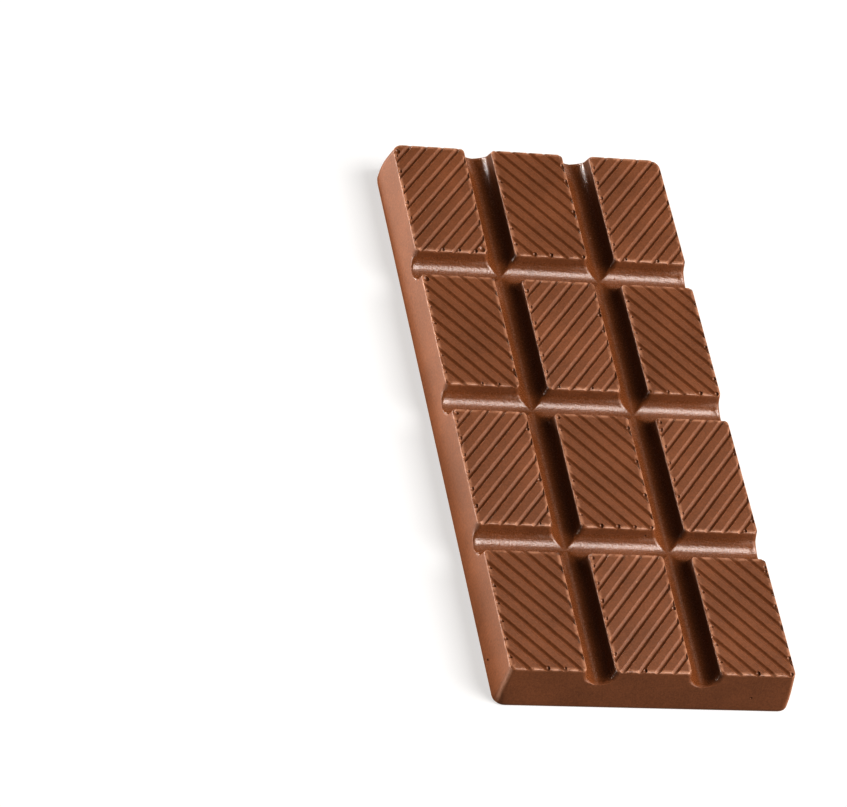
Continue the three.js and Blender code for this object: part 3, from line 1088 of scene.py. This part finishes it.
# %% Mould grain: a fine height, and how dull each part is
TOP_DEPTH = 0.002  # metres down over which the tops' dullness ends
WALL_FADE = 0.0002  # metres outwards over which the walls' dullness begins
CHANNEL_GRAIN = 3.0  # how much more the grain varies the gloss in a channel
graining, given, result = new_group("Mould grain", {
    "Place": (0.0, 0.0, 0.0),
    "Grains per metre": 3000.0,
    "Ripples per metre": 420.0,
    "Ripple share": 0.35,
    "Top": BAR["Thickness"] / 1000,
    "Half width": HALF_WIDTH,
    "Half length": HALF_LENGTH,
    "Channel share": 1.2,
    "Top dullness": 4.0,
    "Wall dullness": 5.0,
}, {"Height": "NodeSocketFloat", "Dullness": "NodeSocketFloat"})
grains = noise(graining, given["Place"], given["Grains per metre"], 3.0)
ripples = noise(graining, given["Place"], given["Ripples per metre"])
split = add_node(graining, "ShaderNodeSeparateXYZ", {"Vector": given["Place"]})
x, y, z = [Number(graining, socket) for socket in split.outputs]
below = ((given["Top"] - z) / TOP_DEPTH).clamped()
outside = (x.math("ABSOLUTE") - given["Half width"]).math(
    "MAXIMUM", y.math("ABSOLUTE") - given["Half length"])
on_wall = (outside / WALL_FADE).clamped() * below
in_channel = below - on_wall
strength = 1.0 + in_channel * given["Channel share"]
fill(graining, result.inputs["Height"], grains * strength + ripples * given["Ripple share"])
dullness = grains * (1.0 + CHANNEL_GRAIN * in_channel)
dullness = dullness + (1.0 - below) * given["Top dullness"]
dullness = dullness + on_wall * given["Wall dullness"]
fill(graining, result.inputs["Dullness"], dullness)
print(graining.name, "has", len(graining.nodes), "nodes")

# %% [markdown]
# ### Cocoa dust
#
# A few specks of cocoa dust lie on any bar. A Voronoi texture scatters one point in each of
# its cells, and a draw by the cell's own random colour says which of them are there and how large.
# Small meshes would do as well, but they would be loose crumbs in the model.

# %% Cocoa dust: scattered pale grains
SMALLEST_SPECK = 0.4  # the smallest speck's share of the radius; the largest has 1.0 more
SPECK_CONTRAST = 3.0
dusting, given, result = new_group("Cocoa dust", {
    "Place": (0.0, 0.0, 0.0),
    "Cells per metre": 260.0,
    "Grain radius": 0.05,
    "Share of cells": 0.4,
}, {"Mask": "NodeSocketFloat"})
cells = add_node(dusting, "ShaderNodeTexVoronoi", {
    "Vector": given["Place"], "Scale": given["Cells per metre"],
})
distance = Number(dusting, socket_named(cells.outputs, "Distance"))
draw = add_node(dusting, "ShaderNodeSeparateColor", {"Color": cells.outputs["Color"]})
chosen = Number(dusting, draw.outputs["Red"]) < given["Share of cells"]
radius = given["Grain radius"] * (SMALLEST_SPECK + Number(dusting, draw.outputs["Green"]))
speck = ((1.0 - distance / radius) * SPECK_CONTRAST).clamped()
fill(dusting, result.inputs["Mask"], chosen * speck)
print(dusting.name, "has", len(dusting.nodes), "nodes")

# %% [markdown]
# ### The chocolate's material
#
# The material asks each group for its part. Only what changes over the surface is linked: the
# colour, the roughness and the fine bump. The rest is set on the shader's own sockets, where an
# export finds it.

# %% The chocolate's material
# A paler brown for worn edges, made bright enough to paint in the highlight that rounded edges
# catch.
WORN_EDGE_AND_HIGHLIGHT_COLOUR = (0.36, 0.19, 0.115, 1.0)
DUST_COLOUR = (0.36, 0.2, 0.12, 1.0)
WORN_EDGE_AND_HIGHLIGHT_COVER, DUST_COVER = 0.75, 0.5  # how much of the brown they hide
GRAIN_DEPTH = 0.00003  # metres
POLISHED = 0.16  # roughness of a place without any dullness
GRAIN_DULLS, RUBBING_DULLS, DUST_DULLS = 0.05, 0.1, 0.3  # what each adds to the roughness

chocolate = bpy.data.materials.new("satin_milk_chocolate")
chocolate.use_nodes = True
recipe = chocolate.node_tree
recipe.nodes.clear()
place = add_node(recipe, "ShaderNodeTexCoord").outputs["Object"]
colour = use_group(chocolate, mottling, {"Place": place}).outputs["Colour"]
edge_wear_and_highlight = Number(recipe, use_group(chocolate, edge_wear_and_highlight_tree, {"Place": place}).outputs["Mask"])
dust = Number(recipe, use_group(chocolate, dusting, {"Place": place}).outputs["Mask"])
grain = use_group(chocolate, graining, {"Place": place}).outputs
# Worn edges with their painted highlight go over the brown, then the dust.
colour = mix_colours(recipe, edge_wear_and_highlight * WORN_EDGE_AND_HIGHLIGHT_COVER, colour, WORN_EDGE_AND_HIGHLIGHT_COLOUR)
colour = mix_colours(recipe, dust * DUST_COVER, colour, DUST_COLOUR)
dull = POLISHED + Number(recipe, grain["Dullness"]) * GRAIN_DULLS
dull = dull + edge_wear_and_highlight * RUBBING_DULLS + dust * DUST_DULLS
bump = add_node(recipe, "ShaderNodeBump", {
    "Strength": 1.0, "Distance": GRAIN_DEPTH, "Height": grain["Height"],
})
skin = add_node(recipe, "ShaderNodeBsdfPrincipled", {
    "Base Color": colour, "Roughness": dull, "Normal": bump.outputs[0],
    "IOR": 1.5, "Specular IOR Level": 0.54,
})
output = add_node(recipe, "ShaderNodeOutputMaterial", {"Surface": skin.outputs[0]})
print("material", chocolate.name, "has", len(recipe.nodes), "nodes")

# %% Press, weight the normals, and put the bar in the frame
bar = grow("moulded_bar_surface", press_tree, {
    "Blank": blank, "Ribs": ribs, "Bubbles": bubbles, "Chocolate": chocolate,
})
weighted = bar.modifiers.new("even lands", "WEIGHTED_NORMAL")
weighted.keep_sharp = True
weighted.weight = 80
depsgraph = bpy.context.evaluated_depsgraph_get()
even = bpy.data.meshes.new_from_object(bar.evaluated_get(depsgraph))
bar.modifiers.clear()
bar.data = even
bar.data.materials.clear()
bar.data.materials.append(chocolate)
for helper in (blank, ribs, bubbles, corner_spots):
    bpy.data.objects.remove(helper)
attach(bar, "root")
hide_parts("moulded_bar")
print("the bar has", sum(len(face.vertices) - 2 for face in bar.data.polygons), "triangles")

# %% [markdown]
# ## The floor
#
# A plain pale floor keeps the eye on the bar. In a studio it would be a sheet of white paper, lit
# from behind so that it comes out white. Here it is a matt grey sheet, which doesn't wash the bar's
# walls out with its own reflection, and it glows just for the camera.

# %% Floor
FLOOR_GLOW = 0.72
bpy.ops.mesh.primitive_plane_add(size=6.0)
floor = bpy.context.object
floor.name = "studio_floor"
paper = bpy.data.materials.new("pale_paper")
paper.use_nodes = True
sheet = paper.node_tree.nodes["Principled BSDF"]
sheet.inputs["Base Color"].default_value = (0.18, 0.178, 0.176, 1.0)
sheet.inputs["Roughness"].default_value = 0.9
sheet.inputs["Specular IOR Level"].default_value = 0.1
sheet.inputs["Emission Color"].default_value = (1.0, 0.99, 0.98, 1.0)
seen = add_node(paper.node_tree, "ShaderNodeLightPath")
glow = Number(paper.node_tree, seen.outputs["Is Camera Ray"]) * FLOOR_GLOW
fill(paper.node_tree, sheet.inputs["Emission Strength"], glow)
floor.data.materials.append(paper)
print("the floor is", round(floor.dimensions.x, 1), "m wide")

# %% [markdown]
# ## The light
#
# A satin surface shows its lamps, so each one has its own task. A large softbox high on the right
# lights the block tops evenly, leaves the left-facing walls of the channels dark, and draws the
# pale bands along the round bottoms of the cross channels. A small one overhead lifts the tops a
# little. Two wide, low windows at the right light the near wall and the grooves' sides. A
# low strip on the left lights the outer wall and the edges that face it. It is so low that the
# channels stay in shade. A glowing white card lies on the floor beside that wall, out of the
# camera's sight, as a reflector does in a studio. One bright sky could replace them all, but it
# would fill every shadow. The display's gamma of 0.7 deepens the contrast.

# %% A soft lamp
def softbox(name, direction, long_axis, distance, length, height, watts):
    """A rectangular soft lamp that faces the bar, with its length along an axis."""
    lamp = bpy.data.lights.new(name, "AREA")
    lamp.shape = "RECTANGLE"
    lamp.size, lamp.size_y, lamp.energy = length, height, watts
    piece = bpy.data.objects.new(name, lamp)
    back = Vector(direction).normalized()
    across = Vector(long_axis)
    across = (across - across.dot(back) * back).normalized()
    piece.matrix_world = Matrix((across, back.cross(across), back)).transposed().to_4x4()
    piece.location = back * distance
    bpy.context.scene.collection.objects.link(piece)
    return piece


print("a softbox takes a direction, a size in metres and a power in watts")

# %% The lamps, the dim room and the contrast
softbox("key_softbox", (0.65, -0.25, 1.0), (0.0, 1.0, 0.25), 3.0, 1.7, 1.7, 180.0)
softbox("overhead_fill", (0.364, 0.42, 1.0), (0.0, 1.0, -0.4), 0.8, 0.43, 0.17, 0.63)
softbox("low_window", (0.85, -0.54, 0.25), (0.54, 0.85, 0.0), 1.0, 1.6, 0.6, 12.8)
softbox("far_window", (0.68, 0.7, 0.24), (0.7, -0.68, 0.0), 1.0, 1.0, 0.36, 2.1)
softbox("low_strip", (-0.875, 0.48, 0.05), (0.48, 0.875, 0.0), 0.6, 1.5, 0.045, 14.3)
card = softbox("white_card", (0.0, 0.0, -1.0), (0.03, 1.0, 0.0), 0.0005, 0.255, 0.12, 0.134)
card.location = (-0.0935, 0.0375, 0.0005)
card.visible_camera = False
world = bpy.data.worlds.new("studio")
world.use_nodes = True
room = world.node_tree.nodes["Background"]
room.inputs["Color"].default_value = (1.0, 1.0, 1.0, 1.0)
room.inputs["Strength"].default_value = 0.003
bpy.context.scene.world = world
bpy.context.scene.view_settings.view_transform = "Standard"
bpy.context.scene.view_settings.gamma = 0.7
print("lamps:", ", ".join(sorted(lamp.name for lamp in bpy.data.lights)))

# %% [markdown]
# ## The camera
#
# A long lens from well above shows the whole face with hardly any perspective. The three rows of
# its matrix are the camera's own right, up and backward directions.

# %% Camera
camera = bpy.data.cameras.new("camera")
camera.sensor_width = 36.0
camera.lens = 213.88
camera.clip_start, camera.clip_end = 0.05, 20.0
eye = bpy.data.objects.new("camera", camera)
right = Vector((0.94574, -0.17247, 0.27536))
above = Vector((-0.04141, 0.77659, 0.62865))
backward = Vector((-0.32226, -0.60594, 0.72731))
placed = Matrix((right, above, backward)).transposed().to_4x4()
placed.translation = (-0.37101, -0.63083, 0.7643)
eye.matrix_world = placed
bpy.context.scene.collection.objects.link(eye)
bpy.context.scene.camera = eye
print("the camera stands", round(placed.translation.length, 2), "m from the bar's middle")

# %% [markdown]
# ## Last update
#
# The finished bar should fill the same box as the plain solid that it stands for. The last step
# only brings the scene up to date.

# %% Finish
bpy.context.view_layer.update()
